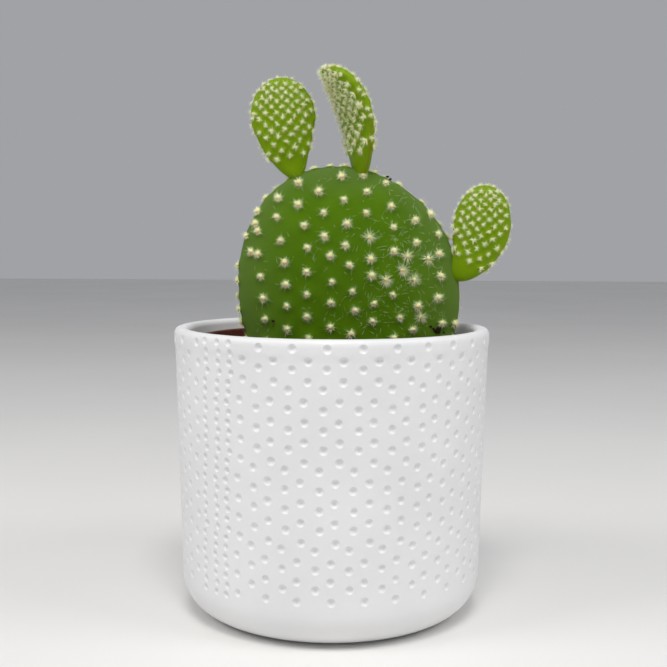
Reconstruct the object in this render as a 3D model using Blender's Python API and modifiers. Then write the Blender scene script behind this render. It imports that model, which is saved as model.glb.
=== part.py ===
"""A potted paddle cactus (bunny-ear prickly pear) in a white ceramic cover pot.

The plant is one big pad, rooted in the soil of a plastic nursery pot, with three young pads on its edge.
The nursery pot stands loose inside the cover pot. Units are metres, +Z is up, -Y is the front, and the
origin is the centre of the cover pot's underside.
"""

import math

import bmesh
import bpy
import numpy as np
from mathutils import Vector

MM = 0.001
GAP = 0.3 * MM  # between pieces that touch

# Cover pot: a turned ceramic shell
POT_RADIUS = 67.5 * MM
POT_HEIGHT = 121.6 * MM
POT_TAPER = 0.028  # radius lost for each unit of depth
POT_WALL = 6.0 * MM
POT_FLOOR = 6.0 * MM
RIM_BAND_HEIGHT = 7.0 * MM
RIM_BAND_STEP = 0.4 * MM
RIM_ROUNDING = 2.3 * MM
OUTER_CORNER = 16.5 * MM
INNER_CORNER = 11.0 * MM
POT_STEPS = 72

# Nursery pot: a thin moulded plastic pot with a collar at its rim
LINER_WALL = 1.2 * MM
LINER_BASE = POT_FLOOR + GAP
LINER_TOP = POT_HEIGHT - 4.3 * MM
LINER_RIM_RADIUS = 58.0 * MM
LINER_COLLAR_HEIGHT = 9.0 * MM
LINER_COLLAR_STEP = 1.8 * MM
LINER_FOOT_RADIUS = 43.0 * MM
DRAIN_HOLES = 8
DRAIN_RADIUS = 4.0 * MM
DRAIN_CIRCLE = 33.0 * MM

# Potting soil
SOIL_LEVEL = 105.0 * MM  # at the nursery pot's wall
SOIL_MOUND = 1.8 * MM  # how much higher it lies round the plant
SOIL_MOUND_RADIUS = 30.0 * MM

# Roots, under the main pad
CROWN_CENTRE = Vector((8.5 * MM, 0.0, 85.5 * MM))
CROWN_SIZE = Vector((10.0 * MM, 4.6 * MM, 6.0 * MM))
SIDE_ROOTS = 6
ROOT_RADIUS = 1.7 * MM
ROOT_TIP_RADIUS = 0.7 * MM
SIDE_ROOT_SPREAD = 30.0 * MM
SIDE_ROOT_DROP = 42.0 * MM
TAP_ROOT_DROP = 55.0 * MM
ROOT_POINTS = 8
ROOT_WAVE = 1.6 * MM  # how far the tap root strays from a straight line
ROOT_VARIATION = 0.25  # how much side roots differ in reach and drop
ROOT_DROP_POWER = 1.6  # above 1 the side roots start level and then dive

# Every pad has the same description: where its base is, how long it is along its centre line, its
# half-width and half-thickness, where along its length it is widest, how narrow its neck is, and how
# the centre line heads. Heading is the lean in the pad's own plane, in degrees, at the base and at the
# tip; curl is how far the tip nods towards the pad's face; turn is how far the face is turned about Z;
# drift slides the tip sideways without leaning it.
PADS = {
    "main_pad": {
        "base": (8.1 * MM, 0.0, 88.0 * MM),
        "length": 101.8 * MM,
        "half_width": 47.5 * MM,
        "half_thickness": 7.0 * MM,
        "widest": 0.50,
        "neck": 0.45,
        "neck_power": 2.6,
        "neck_thickness": 0.75,
        "tip_power": 2.0,
        "heading": (0.0, 0.0),
        "curl": 0.0,
        "turn": 0.0,
        "drift": -6.3 * MM,
        "segments": (40, 28),
    },
    "left_pad": {
        "base": (-13.9 * MM, -0.3 * MM, 184.6 * MM),
        "length": 43.4 * MM,
        "half_width": 13.5 * MM,
        "half_thickness": 3.4 * MM,
        "widest": 0.62,
        "neck": 0.24,
        "neck_power": 1.4,
        "neck_thickness": 0.72,
        "tip_power": 2.0,
        "heading": (-30.0, -2.0),
        "curl": 0.0,
        "turn": 0.0,
        "drift": 0.0,
        "segments": (28, 20),
    },
    "middle_pad": {
        "base": (12.0 * MM, 0.0, 184.4 * MM),
        "length": 51.6 * MM,
        "half_width": 13.8 * MM,
        "half_thickness": 3.5 * MM,
        "widest": 0.57,
        "neck": 0.26,
        "neck_power": 1.5,
        "neck_thickness": 0.85,
        "tip_power": 2.0,
        "heading": (0.0, 0.0),
        "curl": 61.0,
        "turn": -65.0,
        "drift": 0.0,
        "segments": (28, 22),
    },
    "right_pad": {
        "base": (51.4 * MM, -1.4 * MM, 142.9 * MM),
        "length": 43.2 * MM,
        "half_width": 12.2 * MM,
        "half_thickness": 3.3 * MM,
        "widest": 0.60,
        "neck": 0.30,
        "neck_power": 1.5,
        "neck_thickness": 0.75,
        "tip_power": 2.1,
        "heading": (58.0, 0.0),
        "curl": 0.0,
        "turn": 0.0,
        "drift": 0.0,
        "segments": (28, 20),
    },
}
YOUNG_PADS = ("left_pad", "middle_pad", "right_pad")
END_ROUNDING = 12  # power that closes a pad's base: higher is blunter
TIP_THICKNESS_POWER = 2.6  # power that closes a pad's thickness at the tip
EDGE_FULLNESS = 0.8  # power that makes a pad's edge blunter than an ellipse's
CENTRE_LINE_STEPS = 200

# Name: colour, roughness, metallic
MATERIALS = {
    "white_ceramic": ((0.80, 0.80, 0.81), 0.45, 0.0),
    "brown_plastic": ((0.16, 0.035, 0.012), 0.35, 0.0),
    "soil": ((0.045, 0.030, 0.020), 0.95, 0.0),
    "root": ((0.55, 0.42, 0.25), 0.8, 0.0),
    "old_pad_green": ((0.08, 0.20, 0.035), 0.55, 0.0),
    "young_pad_green": ((0.20, 0.38, 0.02), 0.5, 0.0),
}


def clear_scene():
    for obj in list(bpy.context.scene.objects):
        bpy.data.objects.remove(obj)


def new_collection(name):
    collection = bpy.data.collections.new(name)
    bpy.context.scene.collection.children.link(collection)
    return collection


def make_materials():
    made = {}
    for name, (colour, roughness, metallic) in MATERIALS.items():
        material = bpy.data.materials.new(name)
        material.use_nodes = True
        shader = material.node_tree.nodes["Principled BSDF"]
        shader.inputs["Base Color"].default_value = (*colour, 1.0)
        shader.inputs["Roughness"].default_value = roughness
        shader.inputs["Metallic"].default_value = metallic
        made[name] = material
    return made


def add_object(name, mesh, collection, material=None):
    obj = bpy.data.objects.new(name, mesh)
    collection.objects.link(obj)
    if material:
        mesh.materials.append(material)
        mesh.shade_smooth()
        mesh.set_sharp_from_angle(angle=math.radians(40))
    else:
        obj.hide_render = True
        obj.display_type = "WIRE"
    return obj


def cut(obj, cutter, operation="DIFFERENCE"):
    modifier = obj.modifiers.new(f"{operation.lower()}_{cutter.name}", "BOOLEAN")
    modifier.operation = operation
    modifier.solver = "EXACT"
    modifier.object = cutter


# ---------- turned shapes ----------


def arc(centre, radius, start, end, steps):
    """Points (radius from the axis, height) on an arc, from one angle in degrees to another."""
    angles = np.radians(np.linspace(start, end, steps + 1))
    return [(centre[0] + radius * math.cos(a), centre[1] + radius * math.sin(a)) for a in angles]


def turned(name, profile, collection, material=None, steps=POT_STEPS):
    """A solid turned round Z from a profile that starts and ends on the axis."""
    mesh = bpy.data.meshes.new(name)
    points = [(r, 0.0, z) for r, z in profile]
    mesh.from_pydata(points, [(i, i + 1) for i in range(len(points) - 1)], [])
    obj = add_object(name, mesh, collection, material)
    screw = obj.modifiers.new("turn", "SCREW")
    screw.axis = "Z"
    screw.angle = math.tau
    screw.steps = steps
    screw.render_steps = steps
    screw.use_smooth_shade = True
    screw.use_merge_vertices = True
    screw.merge_threshold = 1e-5
    return obj


def wall_radius(z):
    """Outside radius of the cover pot's wall under the rim band."""
    return POT_RADIUS - RIM_BAND_STEP - POT_TAPER * (POT_HEIGHT - RIM_BAND_HEIGHT - z)


def cover_pot_profile():
    inner_top = POT_RADIUS - POT_WALL
    inner_foot = wall_radius(POT_FLOOR + INNER_CORNER) - POT_WALL
    outer_foot = wall_radius(OUTER_CORNER)
    band_bottom = POT_HEIGHT - RIM_BAND_HEIGHT
    rim = POT_HEIGHT - RIM_ROUNDING
    return [
        (0.0, POT_FLOOR),
        *arc((inner_foot - INNER_CORNER, POT_FLOOR + INNER_CORNER), INNER_CORNER, -90, 0, 5),
        *arc((inner_top + RIM_ROUNDING, rim), RIM_ROUNDING, 180, 90, 4),
        *arc((POT_RADIUS - RIM_ROUNDING, rim), RIM_ROUNDING, 90, 0, 4),
        (POT_RADIUS, band_bottom + RIM_BAND_STEP),
        (POT_RADIUS - RIM_BAND_STEP, band_bottom),
        *arc((outer_foot - OUTER_CORNER, OUTER_CORNER), OUTER_CORNER, 0, -90, 7),
        (0.0, 0.0),
    ]


def liner_outside(z):
    """Outside radius of the nursery pot's tapered wall, under its collar."""
    top = LINER_RIM_RADIUS - LINER_COLLAR_STEP
    share = (z - LINER_BASE) / (LINER_TOP - LINER_BASE)
    return LINER_FOOT_RADIUS + (top - LINER_FOOT_RADIUS) * share


def nursery_pot_profile():
    floor = LINER_BASE + LINER_WALL
    collar_bottom = LINER_TOP - LINER_COLLAR_HEIGHT
    shoulder = collar_bottom + LINER_WALL
    half_wall = LINER_WALL / 2
    return [
        (0.0, floor),
        (liner_outside(floor) - LINER_WALL, floor),
        (liner_outside(shoulder) - LINER_WALL, shoulder),
        (LINER_RIM_RADIUS - LINER_WALL, shoulder + LINER_WALL),
        *arc((LINER_RIM_RADIUS - half_wall, LINER_TOP - half_wall), half_wall, 180, 0, 4),
        (LINER_RIM_RADIUS, collar_bottom + half_wall),
        (LINER_RIM_RADIUS - half_wall, collar_bottom),
        (liner_outside(collar_bottom), collar_bottom),
        (liner_outside(LINER_BASE), LINER_BASE),
        (0.0, LINER_BASE),
    ]


def soil_top(radius):
    """Height of the soil's surface at a distance from the pot's axis."""
    return SOIL_LEVEL + SOIL_MOUND * math.exp(-((radius / SOIL_MOUND_RADIUS) ** 2))


def soil_profile():
    foot = LINER_BASE + LINER_WALL + GAP
    clearance = LINER_WALL + GAP
    edge = liner_outside(SOIL_LEVEL) - clearance
    surface = [(edge * share, soil_top(edge * share)) for share in (0.0, 0.2, 0.4, 0.6, 0.8, 1.0)]
    return [*surface, (liner_outside(foot) - clearance, foot), (0.0, foot)]


def make_drain_holes(nursery_pot, cutters):
    """Holes through the nursery pot's floor: one in the middle and a ring of them."""
    places = [(0.0, 0.0)]
    for i in range(DRAIN_HOLES):
        angle = math.tau * i / DRAIN_HOLES
        places.append((DRAIN_CIRCLE * math.cos(angle), DRAIN_CIRCLE * math.sin(angle)))
    for i, (x, y) in enumerate(places):
        bm = bmesh.new()
        bmesh.ops.create_cone(
            bm,
            cap_ends=True,
            segments=20,
            radius1=DRAIN_RADIUS,
            radius2=DRAIN_RADIUS,
            depth=6 * LINER_WALL,
        )
        mesh = bpy.data.meshes.new(f"drain_cutter_{i}")
        bm.to_mesh(mesh)
        bm.free()
        cutter = add_object(mesh.name, mesh, cutters)
        cutter.location = (x, y, LINER_BASE + LINER_WALL / 2)
        cut(nursery_pot, cutter)


# ---------- pads ----------


def pad_half_width(t, pad):
    """Half-width at share t of the length, 0 at the base and 1 at the tip."""
    if t > pad["widest"]:
        v = (t - pad["widest"]) / (1 - pad["widest"])
        return pad["half_width"] * max(0.0, 1 - v ** pad["tip_power"]) ** (1 / pad["tip_power"])
    u = (pad["widest"] - t) / pad["widest"]
    closing = math.sqrt(max(0.0, 1 - u**END_ROUNDING))
    return pad["half_width"] * (1 - (1 - pad["neck"]) * u ** pad["neck_power"]) * closing


def pad_half_thickness(t, pad):
    """Half-thickness at share t of the length: nearly even, and round at both ends."""
    if t > pad["widest"]:
        v = (t - pad["widest"]) / (1 - pad["widest"])
        return pad["half_thickness"] * math.sqrt(max(0.0, 1 - v**TIP_THICKNESS_POWER))
    u = (pad["widest"] - t) / pad["widest"]
    closing = math.sqrt(max(0.0, 1 - u**END_ROUNDING))
    return pad["half_thickness"] * (1 - (1 - pad["neck_thickness"]) * u**2) * closing


def pad_centre_line(pad):
    """Shares along the length, the centre line's points there, and its lean and curl in radians."""
    t = np.linspace(0, 1, CENTRE_LINE_STEPS + 1)
    at_base, at_tip = np.radians(pad["heading"])
    lean = at_base * (1 - t) ** 2 + at_tip * t**2
    curl = math.radians(pad["curl"]) * t**2
    forward = np.stack([np.sin(lean) * np.cos(curl), -np.sin(curl), np.cos(lean) * np.cos(curl)], 1)
    steps = (forward[1:] + forward[:-1]) / 2 * pad["length"] / CENTRE_LINE_STEPS
    points = np.vstack([np.zeros(3), np.cumsum(steps, axis=0)])
    points[:, 0] += pad["drift"] * t**3
    return t, points, lean, curl


def pad_mesh(name, pad, grow=0.0):
    """A sphere reshaped along the pad's centre line; grow makes it larger all round."""
    t_line, points, lean, curl = pad_centre_line(pad)
    bm = bmesh.new()
    around, along = pad["segments"]
    bmesh.ops.create_uvsphere(bm, u_segments=around, v_segments=along, radius=1.0)
    for vert in bm.verts:
        t = (1 + vert.co.z) / 2
        ring = math.hypot(vert.co.x, vert.co.y)
        side, depth = (vert.co.x / ring, vert.co.y / ring) if ring > 1e-6 else (0.0, 0.0)
        across = side * (pad_half_width(t, pad) + grow)
        through = math.copysign(abs(depth) ** EDGE_FULLNESS, depth)
        through *= pad_half_thickness(t, pad) + grow
        centre = Vector([np.interp(t, t_line, points[:, i]) for i in range(3)])
        a, b = np.interp(t, t_line, lean), np.interp(t, t_line, curl)
        forward = Vector((math.sin(a) * math.cos(b), -math.sin(b), math.cos(a) * math.cos(b)))
        width_axis = Vector((math.cos(a), 0.0, -math.sin(a)))
        face_axis = forward.cross(width_axis)
        end = grow * (2 * t - 1)
        vert.co = centre + width_axis * across + face_axis * through + forward * end
    mesh = bpy.data.meshes.new(name)
    bmesh.ops.recalc_face_normals(bm, faces=bm.faces)
    bm.to_mesh(mesh)
    bm.free()
    return mesh


def make_pad(name, collection, material=None, grow=0.0):
    source = PADS[name]
    label = name if material else f"{name}_cutter"
    obj = add_object(label, pad_mesh(label, source, grow), collection, material)
    obj.location = source["base"]
    obj.rotation_euler = (0.0, 0.0, math.radians(source["turn"]))
    return obj


# ---------- roots ----------


def root_tube(name, points, radii, collection):
    """A tapering tube with closed ends along the points, as a mesh."""
    curve = bpy.data.curves.new(name, "CURVE")
    curve.dimensions = "3D"
    curve.bevel_depth = 1.0
    curve.bevel_resolution = 1
    curve.use_fill_caps = True
    spline = curve.splines.new("POLY")
    spline.points.add(len(points) - 1)
    for target, point, radius in zip(spline.points, points, radii):
        target.co = (*point, 1.0)
        target.radius = radius
    guide = bpy.data.objects.new(f"{name}_guide", curve)
    collection.objects.link(guide)
    bpy.context.view_layer.update()
    graph = bpy.context.evaluated_depsgraph_get()
    mesh = bpy.data.meshes.new_from_object(guide.evaluated_get(graph))
    bpy.data.objects.remove(guide)
    bm = bmesh.new()
    bm.from_mesh(mesh)
    bmesh.ops.remove_doubles(bm, verts=bm.verts, dist=1e-6)
    bmesh.ops.recalc_face_normals(bm, faces=bm.faces)
    bm.to_mesh(mesh)
    bm.free()
    mesh.name = name
    return add_object(name, mesh, collection)


def root_paths():
    """Centre lines of the tap root and of the side roots, from the crown outwards and down."""
    shares = np.linspace(0, 1, ROOT_POINTS)
    stray = [Vector((math.sin(5 * s), math.sin(4 * s), 0.0)) * ROOT_WAVE for s in shares]
    down = Vector((0.0, 0.0, -1.0))
    paths = [[CROWN_CENTRE + offset + down * TAP_ROOT_DROP * s for offset, s in zip(stray, shares)]]
    for i in range(SIDE_ROOTS):
        angle = math.tau * (i + 0.5) / SIDE_ROOTS
        outward = Vector((math.cos(angle), math.sin(angle), 0.0))
        reach = SIDE_ROOT_SPREAD * (1 - ROOT_VARIATION + ROOT_VARIATION * math.cos(2.2 * i))
        drop = SIDE_ROOT_DROP * (1 - ROOT_VARIATION + ROOT_VARIATION * math.sin(1.7 * i))
        path = [CROWN_CENTRE + outward * reach * s + down * drop * s**ROOT_DROP_POWER for s in shares]
        paths.append(path)
    return paths


def make_roots(name, collection, cutters, material=None, grow=0.0):
    """The root crown with its roots joined to it."""
    bm = bmesh.new()
    bmesh.ops.create_uvsphere(bm, u_segments=20, v_segments=12, radius=1.0)
    for vert in bm.verts:
        for i in range(3):
            vert.co[i] = CROWN_CENTRE[i] + vert.co[i] * (CROWN_SIZE[i] + grow)
    mesh = bpy.data.meshes.new(name)
    bm.to_mesh(mesh)
    bm.free()
    crown = add_object(name, mesh, collection, material)
    shares = np.linspace(0, 1, ROOT_POINTS)
    radii = [ROOT_RADIUS + (ROOT_TIP_RADIUS - ROOT_RADIUS) * s + grow for s in shares]
    for i, path in enumerate(root_paths()):
        end = path[-1] - path[-2]
        path[-1] = path[-1] + end.normalized() * grow
        cut(crown, root_tube(f"{name}_tube_{i}", path, radii, cutters), "UNION")
    return crown


# ---------- the whole part ----------


def main():
    clear_scene()
    part = new_collection("potted_paddle_cactus")
    cutters = new_collection("cutters")
    material = make_materials()

    turned("cover_pot", cover_pot_profile(), part, material["white_ceramic"])
    nursery_pot = turned("nursery_pot", nursery_pot_profile(), part, material["brown_plastic"])
    make_drain_holes(nursery_pot, cutters)

    make_pad("main_pad", part, material["old_pad_green"])
    main_pad_cutter = make_pad("main_pad", cutters, grow=GAP)
    for name in YOUNG_PADS:
        cut(make_pad(name, part, material["young_pad_green"]), main_pad_cutter)

    roots = make_roots("roots", part, cutters, material["root"])
    cut(roots, main_pad_cutter)
    roots_cutter = make_roots("roots_cutter", cutters, cutters, grow=GAP)
    soil = turned("potting_soil", soil_profile(), part, material["soil"])
    cut(soil, main_pad_cutter)
    cut(soil, roots_cutter)


main()
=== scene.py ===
"""Looks of the potted paddle cactus: a dimpled ceramic cover pot, waxy pads with tufts of bristles,
soil and a nursery pot.

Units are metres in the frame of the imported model: +Z up, -Y the front, the origin under the pot's
centre. The pads are described in millimetres.
"""

import math

import bmesh
import bpy
import numpy as np
from mathutils import Matrix, Vector


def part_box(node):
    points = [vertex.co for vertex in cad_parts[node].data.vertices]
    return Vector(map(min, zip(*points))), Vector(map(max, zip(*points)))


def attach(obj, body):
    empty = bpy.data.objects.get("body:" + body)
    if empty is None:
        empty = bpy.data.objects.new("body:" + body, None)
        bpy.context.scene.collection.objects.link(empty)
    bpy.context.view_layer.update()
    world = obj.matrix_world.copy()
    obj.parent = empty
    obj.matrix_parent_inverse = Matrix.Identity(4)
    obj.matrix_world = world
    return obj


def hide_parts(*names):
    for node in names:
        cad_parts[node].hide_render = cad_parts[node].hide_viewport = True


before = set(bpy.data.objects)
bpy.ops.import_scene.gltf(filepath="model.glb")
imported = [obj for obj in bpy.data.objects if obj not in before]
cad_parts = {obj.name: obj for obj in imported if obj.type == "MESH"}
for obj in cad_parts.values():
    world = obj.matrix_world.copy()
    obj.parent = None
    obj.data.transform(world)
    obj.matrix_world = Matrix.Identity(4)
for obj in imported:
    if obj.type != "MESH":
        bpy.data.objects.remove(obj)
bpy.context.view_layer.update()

MM = 0.001
RANDOM_SEED = 7
UP = np.array([0.0, 0.0, 1.0])

# Cover pot
POT_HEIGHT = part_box("cover_pot")[1].z
POT_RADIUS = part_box("cover_pot")[1].x
POT_TAPER = 0.028
POT_WALL = 6.0 * MM
POT_FLOOR = 6.0 * MM
RIM_BAND_DEPTH = 7.0 * MM
RIM_BAND_STEP = 0.4 * MM
RIM_BAND_EASE = 1.6 * MM
RIM_ROUNDING = 2.3 * MM
OUTER_CORNER = 16.5 * MM
INNER_CORNER = 11.0 * MM
DEGREE = math.radians(1.0) * POT_RADIUS  # metres round the pot

# Dimples: pairs of columns A and B, B half a row lower. At the seam, where the pattern meets
# itself, three columns have smaller dimples at half the spacing.
PAIRS = 31
PAIR_PITCH = 11.445  # degrees
A_TO_B = 5.2  # degrees
SEAM_AZIMUTH = -35.7  # degrees from the front, plus is to the right
ROWS = 13
ROW_PITCH = 7.7 * MM
FIRST_ROW_DEPTH = 4.4 * MM
A_COLUMN_RISE = 0.9 * MM  # the A dimples sit this much above the middle of their cells
DIMPLE_RADIUS = 1.85 * MM
DOUBLED_DIMPLE_RADIUS = 1.6 * MM
DIMPLE_DEPTH = 1.05 * MM
DIMPLE_RINGS = (0.35, 0.66, 0.89, 1.0, 1.1)  # shares of the dimple's radius
DIMPLE_ROUNDNESS = 1.2
FLAT_WALL = 9.0  # stands in for a share of the radius, well outside any dimple
DIMPLE_STRAY = (0.12, 0.12 * MM)  # degrees across, metres down
DOUBLED_STRAY_DOWN = 0.4  # share of a single dimple's
DOUBLED_ZIGZAG = 0.35  # degrees
DIMPLE_SIZES = (0.94, 1.05)
SLANT_ROWS = 4
SLANT_JUMP = 1.5 * MM  # each four rows the pattern steps left by this much
SLANT_RETURN = 0.1 * MM  # and between the steps each row goes right by this much
CELL_ACROSS = 3
CELL_DOWN = 6
BORDER_PULL = 0.4  # share of the way from even angles to those of a cell's border points
WALL_MATCH = 0.1 * MM  # two heights on the wall this near are the same

# Pads, as the CAD model shapes them, in millimetres and degrees. A place along a pad is a share of
# its length, 0 at the base and 1 at the tip. The grid is the points round the pad and along it.
# "closeness" crowds the areoles of the front face, and "wool" makes their tufts bigger.
PADS = {
    "main_pad": {
        "base": (8.1, 0.0, 88.0), "length": 101.8, "half_width": 47.5, "half_thickness": 7.0,
        "widest": 0.50, "neck": 0.45, "neck_power": 2.6, "neck_thickness": 0.75,
        "heading": (0.0, 0.0), "curl": 0.0, "turn": 0.0, "drift": -6.3, "grid": (220, 150),
    },
    "left_pad": {
        "base": (-13.9, -0.3, 184.6), "length": 43.4, "half_width": 13.5, "half_thickness": 3.4,
        "widest": 0.62, "neck": 0.24, "neck_power": 1.4, "neck_thickness": 0.72,
        "heading": (-30.0, -2.0), "curl": 0.0, "turn": 0.0, "drift": 0.0, "grid": (150, 110),
    },
    "middle_pad": {
        "base": (12.0, 0.0, 184.4), "length": 51.6, "half_width": 13.8, "half_thickness": 3.5,
        "widest": 0.57, "neck": 0.26, "neck_power": 1.5, "neck_thickness": 0.85,
        "heading": (0.0, 0.0), "curl": 61.0, "turn": -65.0, "drift": 0.0, "grid": (150, 120),
        "closeness": 0.86, "wool": 1.55,
    },
    "right_pad": {
        "base": (51.4, -1.4, 142.9), "length": 43.2, "half_width": 12.2, "half_thickness": 3.3,
        "widest": 0.60, "neck": 0.30, "neck_power": 1.5, "neck_thickness": 0.75,
        "heading": (58.0, 0.0), "curl": 0.0, "turn": 0.0, "drift": 0.0, "grid": (150, 110),
    },
}
END_ROUNDING = 12
EDGE_FULLNESS = 0.8
TIP_THICKNESS_POWER = 2.6
PATH_STEPS = 200
NORMAL_STEP = 2e-3
BACK, FRONT = 1, -1

# Areoles, in millimetres
MAIN_COLUMNS = range(-5, 6)
MAIN_ROWS = range(-2, 12)
MAIN_TOP_ROW = 175.6  # height of row 0 in the middle column
MAIN_MIDDLE_COLUMN = 1.0
MAIN_PITCH = 9.4
MAIN_ROW_RISE = 3.7  # from each column to the next one outward
MAIN_STRAY = 0.7
MAIN_ENDS = (0.12, 0.965)  # shares of the length
MAIN_FACE = 0.95  # share of the half width
MAIN_OUTLINE_SPACING = 6.0
MAIN_OUTLINE_START = 0.2
YOUNG_START = 0.24
YOUNG_LAST_ROW = 0.975
YOUNG_END = 0.98
YOUNG_FACE = 0.9
YOUNG_SPACING = 5.8
YOUNG_SPACING_LOSS = 2.5  # towards the tip
YOUNG_ROW_STEP = 3.6
YOUNG_ROW_LOSS = 2.1  # towards the tip
YOUNG_STRAY_ACROSS = 0.14
YOUNG_STRAY_ALONG = 0.16
YOUNG_OUTLINE_SPACING = 3.0
OUTLINE_SAMPLES = 400
OUTLINE_STRAY = 0.08  # share of the spacing
OUTLINE_TWIST = 0.22  # radians off the edge
MAIN_BUMP = (0.45 * MM, 2.4 * MM)  # height and width of the swelling under an areole
YOUNG_BUMP = (0.42 * MM, 1.5 * MM)

# Disturbed white clumps on the front of the main pad: (x, z) in millimetres
CLUMPS = (
    (15.8, 160.0), (32.0, 152.0), (30.0, 146.0), (23.0, 142.0),
    (35.0, 142.0), (41.0, 151.0), (38.0, 126.0),
)
CLUMP_REACH = 4.6

# Tufts: a cushion, a core of short bristles and a few long stray ones. The cushion and the disc
# where bristles start are given by their radius.
STRAY_SPREAD = 1.45
STRAY_WIDTH = 0.55  # share of the core bristles' width
MAIN_TUFT = {
    "slot": "old_pad_green", "cushion": 1.1 * MM, "disc": 1.2 * MM, "width": 0.12 * MM,
    "core": {"count": 110, "length": 1.8 * MM, "spread": 1.45, "droop": 0.15},
    "stray": {"count": 12, "length": 3.4 * MM, "spread": STRAY_SPREAD, "droop": 0.6},
}
CLUMP_TUFT = {
    "slot": "old_pad_green", "cushion": 0.9 * MM, "disc": 1.6 * MM, "width": 0.11 * MM,
    "core": {"count": 70, "length": 3.0 * MM, "spread": 1.5, "droop": 0.1},
    "stray": {"count": 24, "length": 4.2 * MM, "spread": STRAY_SPREAD, "droop": 0.25},
}
YOUNG_TUFT = {
    "slot": "young_pad_green", "cushion": 0.42 * MM, "disc": 0.45 * MM, "width": 0.17 * MM,
    "core": {"count": 20, "length": 1.8 * MM, "spread": 1.3, "droop": 0.35},
    "stray": {"count": 9, "length": 2.3 * MM, "spread": STRAY_SPREAD, "droop": 0.15},
}
CUSHION_LIFT = 0.25  # share of the cushion's radius
CUSHION_FLATNESS = 0.7
LUMP_SUBDIVISIONS = 2
NEEDLE_FACES = ((0, 1, 3), (1, 2, 3), (2, 0, 3), (2, 1, 0))

# Fallen hairs on the front of the main pad: how many, then the middle and the spread of their
# places, along the pad as a share of its length and across it in millimetres
HAIR_ZONES = (
    {"count": 200, "middle": (0.66, 26.0), "spread": (0.13, 9.0)},
    {"count": 120, "middle": (0.40, 14.0), "spread": (0.06, 14.0)},
    {"count": 150, "middle": (0.6, 0.0), "spread": (0.2, 22.0)},
)

# Soil
GRAINS = 900
GRAIN_SIZES = (0.5, 1.9)  # mm
GRAIN_FLATNESS = 0.7
PERLITE_SHARE = 0.1
SOIL_EDGE = 1.5 * MM
SOIL_SINK = 1.7 * MM
SOIL_CROWN = 1.8 * MM
SOIL_CROWN_RADIUS = 30.0 * MM
PAD_IN_SOIL = (8.0 * MM, 45.0 * MM, 9.0 * MM)  # its middle, and half of its width and thickness

# A fleck of soil on the right of the main pad's front: (share of the length, mm across)
FLECK_CRUMBS = 16
FLECK_MIDDLE = (0.318, 37.6)
FLECK_SPREAD = (0.013, 1.4)

# Stage and camera
FLOOR_REACH = 4.0
SKY_COLOUR = (0.93, 0.95, 1.0, 1.0)
SKY_STRENGTH = 0.38
CAMERA_PLACE = (0.00074, -0.4534, 0.1574)
CAMERA_PITCH = 4.93  # degrees
CAMERA_ROLL = 0.29  # degrees
CAMERA_LENS = 56.67  # mm
CAMERA_SENSOR = 36.0  # mm


# ---------- small helpers ----------


def add_mesh(name, vertices, faces, material, smooth=True, attributes=None):
    mesh = bpy.data.meshes.new(name)
    mesh.from_pydata([tuple(v) for v in vertices], [], [tuple(f) for f in faces])
    for label, values in (attributes or {}).items():
        layer = mesh.attributes.new(label, "FLOAT", "POINT")
        layer.data.foreach_set("value", np.asarray(values, np.float32))
    if smooth:
        mesh.shade_smooth()
    mesh.materials.append(material)
    obj = bpy.data.objects.new(name, mesh)
    bpy.context.scene.collection.objects.link(obj)
    return obj


def fix_normals(obj):
    bm = bmesh.new()
    bm.from_mesh(obj.data)
    bmesh.ops.recalc_face_normals(bm, faces=bm.faces)
    bm.to_mesh(obj.data)
    bm.free()


def carry(piece, slot, *nodes):
    """Every piece rides on the one body, and may stand for CAD nodes."""
    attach(piece, "root")
    if nodes:
        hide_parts(*nodes)


def unit(vectors):
    return vectors / np.maximum(np.linalg.norm(vectors, axis=-1, keepdims=True), 1e-12)


# ---------- materials ----------


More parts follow.
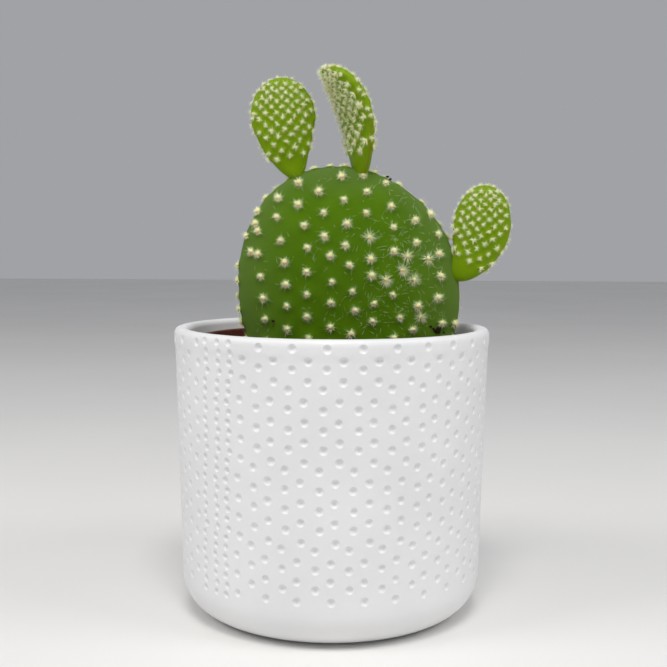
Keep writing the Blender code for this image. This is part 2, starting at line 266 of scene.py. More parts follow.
class Nodes:
    """A short way to wire a procedural material round its Principled shader."""

    def __init__(self, name, roughness, specular):
        self.material = bpy.data.materials.new(name)
        self.material.use_nodes = True
        self.tree = self.material.node_tree
        self.shader = self.tree.nodes["Principled BSDF"]
        self.shader.inputs["Roughness"].default_value = roughness
        self.shader.inputs["Specular IOR Level"].default_value = specular
        self.where = self.tree.nodes.new("ShaderNodeTexCoord").outputs["Object"]

    def link(self, source, target):
        self.tree.links.new(source, target)

    def noise(self, scale, detail=3.0, roughness=0.55):
        node = self.tree.nodes.new("ShaderNodeTexNoise")
        node.inputs["Scale"].default_value = scale
        node.inputs["Detail"].default_value = detail
        node.inputs["Roughness"].default_value = roughness
        self.link(self.where, node.inputs["Vector"])
        return node.outputs["Fac"]

    def attribute(self, name):
        node = self.tree.nodes.new("ShaderNodeAttribute")
        node.attribute_name = name
        return node.outputs["Fac"]

    def ramp(self, source, stops):
        node = self.tree.nodes.new("ShaderNodeValToRGB")
        elements = node.color_ramp.elements
        while len(elements) < len(stops):
            elements.new(0.5)
        for element, (place, colour) in zip(elements, stops):
            element.position = place
            element.color = (*colour, 1.0)
        self.link(source, node.inputs["Fac"])
        return node.outputs["Color"]

    def remap(self, source, low, high, to_low=0.0, to_high=1.0):
        node = self.tree.nodes.new("ShaderNodeMapRange")
        node.inputs["From Min"].default_value = low
        node.inputs["From Max"].default_value = high
        node.inputs["To Min"].default_value = to_low
        node.inputs["To Max"].default_value = to_high
        self.link(source, node.inputs["Value"])
        return node.outputs["Result"]

    def mix(self, factor, first, second):
        """Each of the two is a colour or a socket, and the factor is a socket."""
        node = self.tree.nodes.new("ShaderNodeMix")
        node.data_type = "RGBA"
        for value, socket in ((first, node.inputs[6]), (second, node.inputs[7])):
            if isinstance(value, tuple):
                socket.default_value = (*value, 1.0)
            else:
                self.link(value, socket)
        self.link(factor, node.inputs["Factor"])
        return node.outputs[2]

    def bump(self, height, distance, strength=1.0):
        node = self.tree.nodes.new("ShaderNodeBump")
        node.inputs["Distance"].default_value = distance
        node.inputs["Strength"].default_value = strength
        self.link(height, node.inputs["Height"])
        self.link(node.outputs["Normal"], self.shader.inputs["Normal"])

    def colour(self, source):
        self.link(source, self.shader.inputs["Base Color"])

    def roughness(self, source):
        self.link(source, self.shader.inputs["Roughness"])


def ceramic_material():
    m = Nodes("white_ceramic", roughness=0.42, specular=0.45)
    tone = m.noise(28.0, 4.0)
    m.colour(m.ramp(tone, [(0.3, (0.770, 0.772, 0.780)), (0.7, (0.825, 0.822, 0.822))]))
    m.roughness(m.remap(m.noise(160.0, 3.0), 0.3, 0.7, 0.36, 0.5))
    m.bump(m.noise(900.0, 3.0), 0.00003, 0.5)
    return m.material


def plastic_material():
    m = Nodes("brown_plastic", roughness=0.35, specular=0.5)
    tone = m.noise(60.0, 4.0)
    m.colour(m.ramp(tone, [(0.3, (0.085, 0.014, 0.003)), (0.75, (0.15, 0.028, 0.007))]))
    m.roughness(m.remap(m.noise(220.0, 3.0), 0.3, 0.7, 0.28, 0.5))
    m.bump(m.noise(700.0, 2.0), 0.00005, 0.4)
    return m.material


def soil_material():
    m = Nodes("soil", roughness=0.95, specular=0.2)
    tone = m.noise(420.0, 6.0, 0.7)
    dark, middle, light = (0.012, 0.007, 0.005), (0.045, 0.026, 0.016), (0.11, 0.07, 0.042)
    m.colour(m.ramp(tone, [(0.3, dark), (0.55, middle), (0.8, light)]))
    m.bump(m.noise(650.0, 6.0, 0.7), 0.0008)
    return m.material


def perlite_material():
    m = Nodes("perlite", roughness=0.9, specular=0.2)
    m.colour(m.ramp(m.noise(700.0, 4.0), [(0.3, (0.42, 0.39, 0.34)), (0.7, (0.72, 0.70, 0.66))]))
    m.bump(m.noise(1500.0, 3.0), 0.0002)
    return m.material


def pad_material(name, dark, light, edge, halo, edge_line, roughness):
    """Waxy skin: mottled, painted sheen to the edge and tip, other colours on its line and round
    each areole.
    """
    m = Nodes(name, roughness=roughness, specular=0.07)
    mottle = m.remap(m.noise(70.0, 5.0, 0.6), 0.35, 0.65)
    body = m.mix(mottle, dark, light)
    broad = m.remap(m.noise(22.0, 2.0), 0.38, 0.62, 0.0, 0.45)
    body = m.mix(broad, body, light)
    fine = m.remap(m.noise(650.0, 3.0), 0.25, 0.75, 0.0, 0.35)
    body = m.mix(fine, body, light)
    # Painted sheen: towards the edge and tip, where the waxy surface turns away, the skin takes the
    # edge colour.
    edge_sheened = m.mix(m.remap(m.attribute("edge"), 0.1, 0.9), body, edge)
    haloed = m.mix(m.remap(m.attribute("halo"), 0.1, 1.0, 0.0, 0.55), edge_sheened, halo)
    lined = m.mix(m.attribute("keel"), haloed, edge_line)
    m.colour(lined)
    m.roughness(m.remap(m.noise(300.0, 4.0), 0.3, 0.7, roughness - 0.08, roughness + 0.12))
    m.bump(m.noise(1400.0, 4.0, 0.6), 0.00009, 0.7)
    return m.material


def bristle_material(name, tip, base, roughness):
    m = Nodes(name, roughness=roughness, specular=0.3)
    m.shader.inputs["Subsurface Weight"].default_value = 0.25
    m.shader.inputs["Subsurface Scale"].default_value = 0.6 * MM
    # The tone goes from tip to base colour: the tufts' own tan, darker on their lower sides as
    # painted shade.
    along = m.mix(m.attribute("tone"), tip, base)
    m.colour(m.mix(m.remap(m.noise(500.0, 2.0), 0.35, 0.65, 0.0, 0.3), along, tip))
    return m.material


def root_material():
    m = Nodes("root", roughness=0.85, specular=0.2)
    m.colour(m.ramp(m.noise(300.0, 4.0), [(0.3, (0.16, 0.085, 0.04)), (0.75, (0.36, 0.23, 0.12))]))
    m.bump(m.noise(900.0, 4.0), 0.0003)
    return m.material


def crumb_material():
    m = Nodes("soil_crumb", roughness=0.9, specular=0.2)
    tone = m.noise(900.0, 3.0)
    m.colour(m.ramp(tone, [(0.3, (0.008, 0.003, 0.002)), (0.8, (0.060, 0.020, 0.010))]))
    return m.material


# ---------- cover pot ----------


def wall_radius(depth):
    """Outside radius at a depth below the rim: a straight band, an eased step, then the taper."""
    step = np.clip((depth - RIM_BAND_DEPTH + RIM_BAND_EASE / 2) / RIM_BAND_EASE, 0, 1)
    step = step * step * (3 - 2 * step)
    return POT_RADIUS - RIM_BAND_STEP * step - POT_TAPER * np.maximum(0, depth - RIM_BAND_DEPTH)


def wall_point(place):
    """(radius, height) at a place measured down the wall, which runs up over the rim's rounding."""
    angle = np.clip((RIM_ROUNDING - place) / RIM_ROUNDING, 0, math.pi / 2)
    on_arc = place < RIM_ROUNDING
    arc_radius = POT_RADIUS - RIM_ROUNDING + RIM_ROUNDING * np.cos(angle)
    arc_height = POT_HEIGHT - RIM_ROUNDING + RIM_ROUNDING * np.sin(angle)
    radius = np.where(on_arc, arc_radius, wall_radius(place))
    height = np.where(on_arc, arc_height, POT_HEIGHT - place)
    return radius, height


def row_shift(row):
    """Sideways shift of a row of dimples: it jumps left every four rows, at first after two."""
    counted = row + SLANT_ROWS // 2
    return -SLANT_JUMP * (counted // SLANT_ROWS) + SLANT_RETURN * (counted % SLANT_ROWS)


def slant(place):
    """Sideways shift of the wall between the dimples, which follows the rows smoothly."""
    rows = np.arange(-2, ROWS + 2)
    return float(np.interp((place - FIRST_ROW_DEPTH) / ROW_PITCH - 0.25, rows, row_shift(rows)))


def dimple_columns():
    """(azimuth, is it a B column, is it doubled) for each column, going right from the seam."""
    columns = []
    for pair in range(PAIRS):
        azimuth = SEAM_AZIMUTH + pair * PAIR_PITCH
        columns.append((azimuth, False, pair == 0))
        columns.append((azimuth + A_TO_B, True, pair == PAIRS - 1))
    columns.append((SEAM_AZIMUTH + PAIRS * PAIR_PITCH, False, True))
    return columns


def cell(box, centre, radius, shift, down, vertices, faces):
    """A rectangle of the wall with a dimple: a fan, then rings out to the rectangle's border."""
    left, right, top, bottom = box
    corners = [(left, bottom), (right, bottom), (right, top), (left, top)]
    counts = [CELL_ACROSS, down, CELL_ACROSS, down]
    border = []
    for k in range(4):
        start, end = corners[k], corners[(k + 1) % 4]
        for step in range(counts[k]):
            share = step / counts[k]
            x = start[0] + (end[0] - start[0]) * share
            y = start[1] + (end[1] - start[1]) * share
            border.append((x, y))
    count = len(border)
    angles = [math.atan2(-(y - centre[1]), (x - centre[0]) * DEGREE) for x, y in border]
    even = [-3 * math.pi / 4 + math.tau * k / count for k in range(count)]
    angles = [e + math.remainder(a - e, math.tau) * BORDER_PULL for a, e in zip(angles, even)]
    first = len(vertices)
    vertices.append((centre[0], centre[1], 0.0, shift))
    for ring in DIMPLE_RINGS:
        for angle in angles:
            x = centre[0] + radius * ring * math.cos(angle) / DEGREE
            y = centre[1] - radius * ring * math.sin(angle)
            vertices.append((x, y, ring, shift))
    vertices.extend((x, y, FLAT_WALL, slant(y)) for x, y in border)
    for k in range(count):
        after = (k + 1) % count
        faces.append((first, first + 1 + k, first + 1 + after))
        for ring in range(len(DIMPLE_RINGS)):
            low, high = first + 1 + ring * count, first + 1 + (ring + 1) * count
            faces.append((low + k, high + k, high + after, low + after))


def plain_cell(box, vertices, faces):
    """Half a cell with no dimple, above or below the dimples of a column."""
    left, right, top, bottom = box
    down = CELL_DOWN // 2
    first = len(vertices)
    for row in range(down + 1):
        for step in range(CELL_ACROSS + 1):
            x = left + (right - left) * step / CELL_ACROSS
            y = top + (bottom - top) * row / down
            vertices.append((x, y, FLAT_WALL, slant(y)))
    width = CELL_ACROSS + 1
    for row in range(down):
        for step in range(CELL_ACROSS):
            a = first + row * width + step
            faces.append((a, a + width, a + width + 1, a + 1))


def dimpled_wall(rng):
    """The patterned wall: vertices (azimuth, place, share of dimple's radius, shift) and faces."""
    vertices, faces = [], []
    columns = dimple_columns()
    azimuths = [c[0] for c in columns]
    top = FIRST_ROW_DEPTH - ROW_PITCH / 2
    bottom = FIRST_ROW_DEPTH + ROW_PITCH * ROWS
    for i, (azimuth, is_b, doubled) in enumerate(columns):
        before = azimuths[i - 1] - (360.0 if i == 0 else 0.0)
        after = azimuths[(i + 1) % len(columns)] + (360.0 if i == len(columns) - 1 else 0.0)
        left, right = (azimuth + before) / 2, (azimuth + after) / 2
        pitch = ROW_PITCH / 2 if doubled else ROW_PITCH
        down = CELL_DOWN // 2 if doubled else CELL_DOWN
        start = top + (ROW_PITCH / 2 if is_b and not doubled else 0.0)
        if start > top:
            plain_cell((left, right, top, start), vertices, faces)
        place = start
        while place + pitch < bottom + WALL_MATCH:
            jitter = rng.normal(0, DIMPLE_STRAY, 2)
            if doubled:
                jitter[0] += DOUBLED_ZIGZAG * (1 if round((place - top) / pitch) % 2 else -1)
                jitter[1] *= DOUBLED_STRAY_DOWN
            elif not is_b:
                jitter[1] -= A_COLUMN_RISE
            centre = (azimuth + jitter[0], place + pitch / 2 + jitter[1])
            radius = DOUBLED_DIMPLE_RADIUS if doubled else DIMPLE_RADIUS
            size = radius * rng.uniform(*DIMPLE_SIZES)
            middle = place + pitch / 2
            shift = slant(middle) if doubled else row_shift(int((middle - start) / ROW_PITCH))
            cell((left, right, place, place + pitch), centre, size, shift, down, vertices, faces)
            place += pitch
        if place < bottom - WALL_MATCH:
            plain_cell((left, right, place, bottom), vertices, faces)
    return np.array(vertices), faces, top, bottom


def arc_points(centre, radius, start, end, steps):
    angles = np.radians(np.linspace(start, end, steps + 1))
    return [(centre[0] + radius * math.cos(a), centre[1] + radius * math.sin(a)) for a in angles]


def upper_profile(start_angle):
    """From the rim's outer rounding over the lip, down the inside to the middle of the floor."""
    inner_top = POT_RADIUS - POT_WALL
    inner_foot = wall_radius(POT_HEIGHT - POT_FLOOR - INNER_CORNER) - POT_WALL
    rim = POT_HEIGHT - RIM_ROUNDING
    corner = (inner_foot - INNER_CORNER, POT_FLOOR + INNER_CORNER)
    return [
        *arc_points((POT_RADIUS - RIM_ROUNDING, rim), RIM_ROUNDING, start_angle, 90, 6)[1:],
        *arc_points((inner_top + RIM_ROUNDING, rim), RIM_ROUNDING, 90, 180, 8),
        (inner_top - 0.1 * MM, rim - 20 * MM),
        *arc_points(corner, INNER_CORNER, 0, -90, 8),
        (inner_foot - INNER_CORNER - 22 * MM, POT_FLOOR),
    ]


def lower_profile():
    """From the end of the pattern down round the corner to the middle of the underside."""
    foot = float(wall_radius(POT_HEIGHT - OUTER_CORNER))
    return [
        *arc_points((foot - OUTER_CORNER, OUTER_CORNER), OUTER_CORNER, 0, -90, 16)[1:],
        (foot - OUTER_CORNER - 1.5 * MM, 0.0),
        (foot - OUTER_CORNER - 25 * MM, 0.0),
    ]


def turn_profile(profile, azimuths, ring, vertices, faces, end_height):
    """Joins the profile's rings to an existing ring of vertices, and closes them on the axis."""
    count = len(ring)
    for radius, height in profile:
        first = len(vertices)
        for azimuth in azimuths:
            vertices.append((radius * math.sin(azimuth), -radius * math.cos(azimuth), height))
        new_ring = list(range(first, first + count))
        for k in range(count):
            after = (k + 1) % count
            faces.append((ring[k], ring[after], new_ring[after], new_ring[k]))
        ring = new_ring
    vertices.append((0.0, 0.0, end_height))
    middle = len(vertices) - 1
    faces.extend((ring[k], ring[(k + 1) % count], middle) for k in range(count))


def make_cover_pot(rng):
    """The patterned wall, with the points that cells share merged, then rolled up and closed."""
    flat, faces, top, bottom = dimpled_wall(rng)
    turns = np.mod(flat[:, 0], 360.0)
    key = np.stack([np.round(turns, 4) % 360.0, np.round(flat[:, 1] / MM, 4), flat[:, 2]], 1)
    _, first, index = np.unique(key, axis=0, return_index=True, return_inverse=True)
    index = index.reshape(-1)
    flat = flat[first]
    faces = [tuple(index[list(f)]) for f in faces]
    place = flat[:, 1]
    radius, height = wall_point(place)
    hollow = np.clip(1 - np.minimum(flat[:, 2], 1.0) ** 2, 0, 1) ** DIMPLE_ROUNDNESS
    radius = radius - DIMPLE_DEPTH * hollow
    azimuth = np.radians(flat[:, 0]) + flat[:, 3] / POT_RADIUS
    rolled = np.stack([radius * np.sin(azimuth), -radius * np.cos(azimuth), height], 1)
    vertices = [tuple(v) for v in rolled]
    top_angle = math.degrees((RIM_ROUNDING - top) / RIM_ROUNDING)
    for level, profile, end in (
        (top, upper_profile(top_angle), POT_FLOOR),
        (bottom, lower_profile(), 0.0),
    ):
        ring = np.where(np.abs(place - level) < 0.01 * MM)[0]
        ring = ring[np.argsort(np.mod(flat[ring, 0], 360.0))]
        turn_profile(profile, azimuth[ring], [int(i) for i in ring], vertices, faces, end)
    pot = add_mesh("dimpled_cover_pot", vertices, faces, ceramic_material())
    fix_normals(pot)
    carry(pot, "white_ceramic", "cover_pot")


# ---------- pads ----------


def swelling(t, pad, tip_power, neck, neck_power):
    """Share of the pad's greatest width or thickness, which rounds off at both ends."""
    to_tip = np.clip((t - pad["widest"]) / (1 - pad["widest"]), 0, 1)
    to_base = np.clip((pad["widest"] - t) / pad["widest"], 0, 1)
    tip = np.sqrt(np.maximum(0, 1 - to_tip**tip_power))
    foot = np.sqrt(np.maximum(0, 1 - to_base**END_ROUNDING))
    return np.where(t > pad["widest"], tip, (1 - (1 - neck) * to_base**neck_power) * foot)


def half_width(t, pad):
    return pad["half_width"] * swelling(t, pad, 2, pad["neck"], pad["neck_power"])


def half_thickness(t, pad):
    share = swelling(t, pad, TIP_THICKNESS_POWER, pad["neck_thickness"], 2)
    return pad["half_thickness"] * share


def pad_point(pad, t, phi):
    """Points on a pad's skin, in metres: t runs from base to tip, phi round from the right edge."""
    line = np.linspace(0, 1, PATH_STEPS + 1)
    at_base, at_tip = np.radians(pad["heading"])
    lean = at_base * (1 - line) ** 2 + at_tip * line**2
    curl = math.radians(pad["curl"]) * line**2
    forward = np.stack([np.sin(lean) * np.cos(curl), -np.sin(curl), np.cos(lean) * np.cos(curl)], 1)
    steps = (forward[1:] + forward[:-1]) / 2 * pad["length"] / PATH_STEPS
    path = np.vstack([np.zeros(3), np.cumsum(steps, axis=0)])
    path[:, 0] += pad["drift"] * line**3
    centre = np.stack([np.interp(t, line, path[:, i]) for i in range(3)], -1)
    a, b = np.interp(t, line, lean), np.interp(t, line, curl)
    ahead = np.stack([np.sin(a) * np.cos(b), -np.sin(b), np.cos(a) * np.cos(b)], -1)
    width_axis = np.stack([np.cos(a), 0 * a, -np.sin(a)], -1)
    face_axis = np.cross(ahead, width_axis)
    across = np.cos(phi) * half_width(t, pad)
    through = np.sign(np.sin(phi)) * np.abs(np.sin(phi)) ** EDGE_FULLNESS * half_thickness(t, pad)
    local = centre + width_axis * across[..., None] + face_axis * through[..., None]
    turn = math.radians(pad["turn"])
    x = local[..., 0] * math.cos(turn) - local[..., 1] * math.sin(turn)
    y = local[..., 0] * math.sin(turn) + local[..., 1] * math.cos(turn)
    return (np.stack([x, y, local[..., 2]], -1) + pad["base"]) * MM


def pad_normal(pad, t, phi):
    above = pad_point(pad, np.minimum(t + NORMAL_STEP, 0.9995), phi)
    below = pad_point(pad, np.maximum(t - NORMAL_STEP, 0.0005), phi)
    around = pad_point(pad, t, phi + NORMAL_STEP) - pad_point(pad, t, phi - NORMAL_STEP)
    return unit(np.cross(around, above - below))


def face_angle(pad, t, across, side):
    """The phi that lies `across` millimetres from the centre line on the front or back face."""
    share = np.clip(across / np.maximum(half_width(t, pad), 1e-6), -1, 1)
    return side * np.arccos(share)


def outline_areoles(pad, spacing, start, rng):
    """Areoles as (t, phi) along both edges and over the tip, evenly spaced along the outline."""
    t = 1 - (1 - start) * np.linspace(1, 0.003, OUTLINE_SAMPLES) ** 2
    found = []
    for phi in (0.0, math.pi):
        points = pad_point(pad, t, np.full_like(t, phi))
        lengths = np.linalg.norm(np.diff(points, axis=0), axis=1)
        walked = np.concatenate([[0], np.cumsum(lengths)]) / MM
        count = int(walked[-1] / spacing)
        for k in range(count):
            distance = (k + 0.5) * walked[-1] / count + rng.normal(0, OUTLINE_STRAY * spacing)
            place = float(np.interp(distance, walked, t))
            found.append((place, phi + rng.normal(0, OUTLINE_TWIST)))
    return found


def beside_clump(pad, t, across):
    """Is this place, on the front, too near a disturbed clump?"""
    x = pad["base"][0] + pad["drift"] * t**3 + across
    z = pad["base"][2] + pad["length"] * t
    return any(math.hypot(x - clump_x, z - clump_z) < CLUMP_REACH for clump_x, clump_z in CLUMPS)


def main_pad_areoles(pad, rng):
    """Rows that rise to both sides of the middle column, on both faces."""
    found = []
    for side in (FRONT, BACK):
        for column in MAIN_COLUMNS:
            for row in MAIN_ROWS:
                height = MAIN_TOP_ROW - MAIN_PITCH * row + MAIN_ROW_RISE * abs(column)
                t = (height + rng.normal(0, MAIN_STRAY) - pad["base"][2]) / pad["length"]
                across = MAIN_MIDDLE_COLUMN + MAIN_PITCH * column + rng.normal(0, MAIN_STRAY)
                crowded = side == FRONT and beside_clump(pad, t, across)
                inside = abs(across) < MAIN_FACE * half_width(t, pad)
                if MAIN_ENDS[0] < t < MAIN_ENDS[1] and inside and not crowded:
                    found.append((t, float(face_angle(pad, t, across, side))))
    return found + outline_areoles(pad, MAIN_OUTLINE_SPACING, MAIN_OUTLINE_START, rng)


def young_pad_areoles(pad, rng):
    """Staggered rows that crowd together towards the tip, closer on the front face of one pad."""
    found = []
    for side in (FRONT, BACK):
        closeness = pad.get("closeness", 1.0) if side == FRONT else 1.0
        t, row = YOUNG_START, 0
        while t < YOUNG_LAST_ROW:
            spacing = (YOUNG_SPACING - YOUNG_SPACING_LOSS * t * t) / closeness
            width = YOUNG_FACE * float(half_width(t, pad))
            reach = int(width / spacing) + 1
            for k in range(-reach, reach + 1):
                across = (k + 0.5 * (row % 2)) * spacing + rng.normal(0, YOUNG_STRAY_ACROSS)
                place = t + rng.normal(0, YOUNG_STRAY_ALONG) / pad["length"]
                if abs(across) < width and place < YOUNG_END:
                    found.append((place, float(face_angle(pad, place, across, side))))
            t += (YOUNG_ROW_STEP - YOUNG_ROW_LOSS * t) / closeness / pad["length"]
            row += 1
    return found + outline_areoles(pad, YOUNG_OUTLINE_SPACING, YOUNG_START, rng)


def make_pad(name, areoles, bump, material, slot):
    """A pad's skin with a bump under each areole, and the places and normals for the tufts."""
    pad = PADS[name]
    bump_height, bump_width = bump
    around, along = pad["grid"]
    theta = np.linspace(0, math.pi, along + 1)[1:-1]
    ring_t = (1 - np.cos(theta)) / 2
    phi = np.linspace(0, math.tau, around, endpoint=False)
    t_grid, phi_grid = np.meshgrid(ring_t, phi, indexing="ij")
    points = pad_point(pad, t_grid, phi_grid).reshape(-1, 3)
    normals = pad_normal(pad, t_grid, phi_grid).reshape(-1, 3)
    places = np.array(areoles)
    seats = pad_point(pad, places[:, 0], places[:, 1])
    halo = np.zeros(len(points))
    for seat in seats:
        distance = np.linalg.norm(points - seat, axis=1)
        halo = np.maximum(halo, np.exp(-((distance / bump_width) ** 2)))
    points = points + normals * (halo * bump_height)[:, None]
    to_edge = np.abs(np.cos(phi_grid))
    # Where the painted sheen lies: towards both edges and over the tip.
    edge = np.maximum(to_edge**3, np.clip((t_grid - 0.8) / 0.2, 0, 1) ** 1.5).ravel()
    keel = (0.45 * to_edge**300 * np.clip((0.6 - t_grid) / 0.3, 0, 1)).ravel()
    ends = pad_point(pad, np.array([1e-5, 1 - 1e-5]), np.zeros(2))
    vertices = np.vstack([points, ends])
    faces = []
    for row in range(len(ring_t) - 1):
        for k in range(around):
            a, b = row * around + k, row * around + (k + 1) % around
            faces.append((a, b, b + around, a + around))
    base, tip = len(points), len(points) + 1
    last = (len(ring_t) - 1) * around
    for k in range(around):
        faces.append((base, (k + 1) % around, k))
        faces.append((tip, last + k, last + (k + 1) % around))
    extra = {
        "halo": np.append(halo, [0, 1]),
        "edge": np.append(edge, [0, 1]),
        "keel": np.append(keel, [0, 0]),
    }
    piece = add_mesh(f"{name}_skin", vertices, faces, material, attributes=extra)
    fix_normals(piece)
    carry(piece, slot, name)
    seat_normals = pad_normal(pad, places[:, 0], places[:, 1])
    return seats + seat_normals * bump_height * 0.9, seat_normals


# ---------- bristles ----------


def tangents(normals):
    """Two directions across each normal, as long as none of them is the slanting one."""
    slanting = np.array([0.31, 0.17, 0.93])
    side = unit(np.cross(normals, slanting))
    return side, np.cross(normals, side)


def spikes(starts, directions, lengths, widths, tones):
    """Closed three-sided needles, and a tone for each of their points, a quarter as much at the
    tip.
    """
    directions = unit(directions)
    side, other = tangents(directions)
    corners = []
    for k in range(3):
        angle = math.tau * k / 3
        outward = side * math.cos(angle) + other * math.sin(angle)
        corners.append(starts + outward * widths[:, None])
    tips = starts + directions * lengths[:, None]
    vertices = np.stack([*corners, tips], 1).reshape(-1, 3)
    first = np.arange(len(starts)) * 4
    faces = np.concatenate([first[:, None] + np.array(face) for face in NEEDLE_FACES])
    tone = np.stack([tones, tones, tones, tones * 0.25], 1).ravel()
    return vertices, faces, tone


def flatten(values):
    """The needles' values, of all the tufts, in one row."""
    return values.reshape(-1, *values.shape[2:])


def tuft_spikes(seats, normals, scale, rng, disc, width, count, length, spread, droop):
    """Needles of every tuft: they start in a small disc and fan out, drooping a little."""
    tufts = len(seats)
    side, other = tangents(normals)
    angle = rng.uniform(0, math.tau, (tufts, count))
    lean = np.arccos(1 - rng.uniform(0, 1 - math.cos(spread), (tufts, count)))
    angle, lean = angle[..., None], lean[..., None]
    outward = side[:, None] * np.cos(angle) + other[:, None] * np.sin(angle)
    directions = normals[:, None] * np.cos(lean) + outward * np.sin(lean)
    directions = directions - UP * droop * rng.uniform(0.2, 1.4, (tufts, count))[..., None]
    offset = disc * np.sqrt(rng.uniform(0, 1, (tufts, count))) * scale[:, None]
    offset = offset * np.sin(lean[..., 0])
    starts = seats[:, None] + outward * offset[..., None]
    lengths = length * rng.uniform(0.65, 1.15, (tufts, count)) * scale[:, None]
    widths = width * rng.uniform(0.7, 1.2, (tufts, count))
    # Painted shade over the felt's tan: needles that point down take more of the darker base
    # colour.
    below = -(outward @ UP)
    tones = np.clip(0.25 + 0.6 * below + rng.normal(0, 0.2, (tufts, count)), 0, 1)
    return spikes(*(flatten(values) for values in (starts, directions, lengths, widths, tones)))


def join(parts):
    """Several (vertices, faces, tones) as one."""
    vertices, faces, tones, first = [], [], [], 0
    for v, f, t in parts:
        vertices.append(v)
        faces.append(f + first)
        tones.append(t)
        first += len(v)
    return np.vstack(vertices), np.vstack(faces), np.concatenate(tones)


def ball():
    bm = bmesh.new()
    bmesh.ops.create_icosphere(bm, subdivisions=LUMP_SUBDIVISIONS, radius=1.0)
    vertices = np.array([v.co for v in bm.verts])
    faces = np.array([[v.index for v in f.verts] for f in bm.faces])
    bm.free()
    return vertices, faces


def lumps(centres, normals, sizes, heights, rng, rough=0.12):
    """Small rounded lumps, flattened along their normals, and a tone per point, higher on the lower
    side.
    """
    shape, shape_faces = ball()
    side, other = tangents(normals)
    bumps = 1 + rng.normal(0, rough, (len(centres), len(shape)))
    local = shape[None] * bumps[..., None]
    vertices = centres[:, None] + (
        side[:, None] * local[..., :1] * sizes[:, None, None]
        + other[:, None] * local[..., 1:2] * sizes[:, None, None]
        + normals[:, None] * local[..., 2:3] * heights[:, None, None]
    )
    first = (np.arange(len(centres)) * len(shape))[:, None, None]
    faces = (shape_faces[None] + first).reshape(-1, 3)
    # Painted shade over the felt's tan: the lower side of each cushion takes more of the darker
    # base colour.
    tone = np.clip(0.1 - 1.0 * ((vertices - centres[:, None]) @ UP) / sizes[:, None], 0, 1)
    return vertices.reshape(-1, 3), faces, tone.ravel()


def make_tufts(name, seats, normals, rng, style, materials, scale):
    """One piece of cushions and one of bristles for a pad."""
    size = style["cushion"] * scale
    centres = seats + normals * CUSHION_LIFT * style["cushion"]
    vertices, faces, tone = lumps(centres, normals, size, size * CUSHION_FLATNESS, rng)
    piece = add_mesh(
        f"{name}_areoles", vertices, faces, materials["cushion"], attributes={"tone": tone}
    )
    carry(piece, style["slot"])
    tufts = (seats, normals, scale, rng, style["disc"])
    core = tuft_spikes(*tufts, style["width"], **style["core"])
    stray = tuft_spikes(*tufts, style["width"] * STRAY_WIDTH, **style["stray"])
    vertices, faces, tone = join([core, stray])
    piece = add_mesh(
        f"{name}_bristles", vertices, faces, materials["bristle"], False, {"tone": tone}
    )
    carry(piece, style["slot"])


def loose_hairs(pad, rng, count, middle, spread):
    """Fallen hairs that lie on the front of a pad, as short needles."""
    t = np.clip(rng.normal(middle[0], spread[0], count), 0.3, 0.95)
    across = np.clip(rng.normal(middle[1], spread[1], count), -40, 40)
    phi = face_angle(pad, t, across, FRONT)
    starts = pad_point(pad, t, phi)
    normals = pad_normal(pad, t, phi)
    side, other = tangents(normals)
    angle = rng.uniform(0, math.tau, count)
    along = side * np.cos(angle)[:, None] + other * np.sin(angle)[:, None]
    starts = starts + normals * 0.15 * MM
    lengths = rng.uniform(1.2, 3.6, count) * MM
    directions = along + normals * rng.uniform(0.05, 0.45, count)[:, None]
    widths = rng.uniform(0.028, 0.05, count) * MM
    return spikes(starts, directions, lengths, widths, rng.uniform(0, 0.3, count))


def clump_seats(pad):
    x, z = np.array(CLUMPS).T
    t = (z - pad["base"][2]) / pad["length"]
    phi = face_angle(pad, t, x - pad["base"][0] - pad["drift"] * t**3, FRONT)
    return pad_point(pad, t, phi), pad_normal(pad, t, phi)


def make_plant(rng):
    # Each edge colour is the painted sheen towards a pad's edge and tip.
    old_skin = pad_material(
        "old_pad_green",
        dark=(0.055, 0.130, 0.001), light=(0.085, 0.185, 0.002), edge=(0.095, 0.168, 0.027),
        halo=(0.10, 0.205, 0.008), edge_line=(0.10, 0.185, 0.03), roughness=0.5,
    )
    young_skin = pad_material(
        "young_pad_green",
        dark=(0.105, 0.200, 0.001), light=(0.175, 0.295, 0.001), edge=(0.165, 0.280, 0.003),
        halo=(0.25, 0.385, 0.012), edge_line=(0.22, 0.095, 0.025), roughness=0.45,
    )
    # The base colours are the tufts' tan, darkened as painted shade for their lower sides.
    materials = {
        "cushion": bristle_material("areole_felt", (0.85, 0.82, 0.43), (0.58, 0.33, 0.16), 0.9),
        "bristle": bristle_material("glochid", (0.94, 0.95, 0.66), (0.82, 0.66, 0.36), 0.6),
    }
    main = PADS["main_pad"]
    areoles = main_pad_areoles(main, rng)
    seats, normals = make_pad("main_pad", areoles, MAIN_BUMP, old_skin, "old_pad_green")
    scale = rng.uniform(0.8, 1.12, len(seats))
    make_tufts("main_pad", seats, normals, rng, MAIN_TUFT, materials, scale)
    make_tufts("clump", *clump_seats(main), rng, CLUMP_TUFT, materials, np.ones(len(CLUMPS)))
    for name in ("left_pad", "middle_pad", "right_pad"):
        areoles = young_pad_areoles(PADS[name], rng)
        seats, normals = make_pad(name, areoles, YOUNG_BUMP, young_skin, "young_pad_green")
        tip_share = np.array([place for place, _ in areoles])
        scale = (1.08 - 0.22 * tip_share) * rng.uniform(0.85, 1.1, len(seats))
        on_front = np.array([math.sin(phi) < -0.35 for _, phi in areoles])
        scale = np.where(on_front, scale * PADS[name].get("wool", 1.0), scale)
        make_tufts(name, seats, normals, rng, YOUNG_TUFT, materials, scale)
    vertices, faces, tone = join([loose_hairs(main, rng, **zone) for zone in HAIR_ZONES])
    piece = add_mesh("fallen_hairs", vertices, faces, materials["bristle"], False, {"tone": tone})
    carry(piece, "old_pad_green")


# ---------- soil and nursery pot ----------


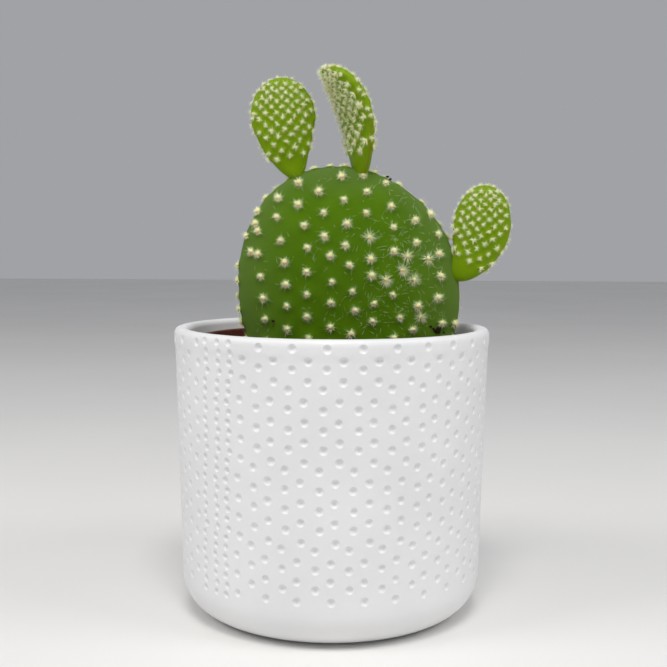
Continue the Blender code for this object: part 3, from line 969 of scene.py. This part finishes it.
def make_soil(rng):
    """Soil's own looks on the CAD mound, with loose grains over it that keep clear of the pad."""
    material = soil_material()
    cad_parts["potting_soil"].data.materials[0] = material
    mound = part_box("potting_soil")[1]
    radius = (mound.x - SOIL_EDGE) * np.sqrt(rng.uniform(0, 1, GRAINS))
    angle = rng.uniform(0, math.tau, GRAINS)
    crown = SOIL_CROWN * np.exp(-((radius / SOIL_CROWN_RADIUS) ** 2))
    height = mound.z - SOIL_SINK + crown
    centres = np.stack([radius * np.cos(angle), radius * np.sin(angle), height], 1)
    sizes = rng.uniform(*GRAIN_SIZES, GRAINS) * MM
    middle, pad_half_width, pad_half_thickness = PAD_IN_SOIL
    across = np.abs(centres[:, 0] - middle) < pad_half_width
    clear = ~(across & (np.abs(centres[:, 1]) < pad_half_thickness))
    centres, sizes = centres[clear], sizes[clear]
    normals = unit(rng.normal(0, 0.5, (len(centres), 3)) + UP)
    white = rng.uniform(0, 1, len(centres)) < PERLITE_SHARE
    heights = sizes * GRAIN_FLATNESS
    for name, chosen, finish in (
        ("soil_crumbs", ~white, material),
        ("perlite_grains", white, perlite_material()),
    ):
        grains = [values[chosen] for values in (centres, normals, sizes, heights)]
        shape = lumps(*grains, rng, rough=0.16)
        carry(add_mesh(name, *shape[:2], finish), "soil")


def make_caught_crumbs(rng):
    """Dark crumbs of soil: a few caught on spines and skin, and a fleck of many."""
    main_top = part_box("main_pad")[1].z
    middle_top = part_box("middle_pad")[1].z
    places = np.array([
        [23.5 * MM, -1.0 * MM, main_top - 4.1 * MM],
        [24.6 * MM, -1.4 * MM, main_top - 5.2 * MM],
        [51.5 * MM, -2.0 * MM, main_top - 27.5 * MM],
        [0.8 * MM, -6.0 * MM, middle_top + 0.6 * MM],
        [45.0 * MM, -5.2 * MM, 121.0 * MM],
        [46.2 * MM, -5.0 * MM, 119.8 * MM],
        [-25.0 * MM, -6.4 * MM, 124.0 * MM],
    ])
    main = PADS["main_pad"]
    t, across = rng.normal(FLECK_MIDDLE, FLECK_SPREAD, (FLECK_CRUMBS, 2)).T
    places = np.vstack([places, pad_point(main, t, face_angle(main, t, across, FRONT))])
    count = len(places)
    sizes = rng.uniform(0.4, 0.7, count) * MM
    heights = rng.uniform(0.4, 0.6, count) * MM
    shape = lumps(places, np.tile(UP, (count, 1)), sizes, heights, rng, rough=0.2)
    carry(add_mesh("caught_crumbs", *shape[:2], crumb_material()), "soil")


# ---------- stage ----------


def make_stage():
    bm = bmesh.new()
    bmesh.ops.create_grid(bm, x_segments=1, y_segments=1, size=FLOOR_REACH)
    mesh = bpy.data.meshes.new("floor")
    bm.to_mesh(mesh)
    bm.free()
    floor = bpy.data.objects.new("floor", mesh)
    bpy.context.scene.collection.objects.link(floor)
    m = Nodes("pale_floor", roughness=0.7, specular=0.2)
    m.colour(m.ramp(m.noise(3.0), [(0.3, (0.80, 0.79, 0.77)), (0.7, (0.84, 0.83, 0.81))]))
    mesh.materials.append(m.material)
    world = bpy.data.worlds.new("studio")
    bpy.context.scene.world = world
    world.use_nodes = True
    background = world.node_tree.nodes["Background"]
    background.inputs["Color"].default_value = SKY_COLOUR
    background.inputs["Strength"].default_value = SKY_STRENGTH


def add_area_light(name, location, target, size, power, colour):
    data = bpy.data.lights.new(name, "AREA")
    data.shape = "SQUARE"
    data.size = size
    data.energy = power
    data.color = colour
    light = bpy.data.objects.new(name, data)
    bpy.context.scene.collection.objects.link(light)
    light.location = location
    light.rotation_euler = (Vector(target) - Vector(location)).to_track_quat("-Z", "Y").to_euler()


def make_lights():
    plant, pot_rim = (0.0, 0.0, 0.12), (0.0, 0.0, 0.10)
    cream, warm, cool = (1.0, 0.99, 0.97), (1.0, 0.985, 0.97), (0.99, 0.99, 1.0)
    add_area_light("overhead", (0.0, -0.62, 1.15), plant, size=0.45, power=7.5, colour=cream)
    add_area_light("left_window", (-0.95, -0.40, 0.95), pot_rim, size=0.5, power=4.5, colour=warm)
    add_area_light("right_window", (0.95, -0.40, 0.95), pot_rim, size=0.5, power=4.0, colour=cool)


def make_camera():
    """The camera of the photo, which looks a little down and is rolled a little."""
    data = bpy.data.cameras.new("camera")
    data.sensor_width = CAMERA_SENSOR
    data.lens = CAMERA_LENS
    data.clip_start = 0.01
    data.clip_end = 50.0
    camera = bpy.data.objects.new("camera", data)
    bpy.context.scene.collection.objects.link(camera)
    pitch, roll = math.radians(CAMERA_PITCH), math.radians(CAMERA_ROLL)
    ahead = Vector((0.0, math.cos(pitch), -math.sin(pitch)))
    above = Vector((0.0, math.sin(pitch), math.cos(pitch)))
    right = Vector((1.0, 0.0, 0.0))
    x_axis = right * math.cos(roll) + above * math.sin(roll)
    y_axis = above * math.cos(roll) - right * math.sin(roll)
    rotation = Matrix((x_axis, y_axis, -ahead)).transposed().to_4x4()
    camera.matrix_world = Matrix.Translation(CAMERA_PLACE) @ rotation
    bpy.context.scene.camera = camera


# ---------- the whole scene ----------

rng = np.random.default_rng(RANDOM_SEED)
make_camera()
make_stage()
make_lights()
make_cover_pot(rng)
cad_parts["nursery_pot"].data.materials[0] = plastic_material()
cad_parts["roots"].data.materials[0] = root_material()
make_soil(rng)
make_plant(rng)
make_caught_crumbs(rng)
bpy.context.scene.view_settings.view_transform = "Standard"
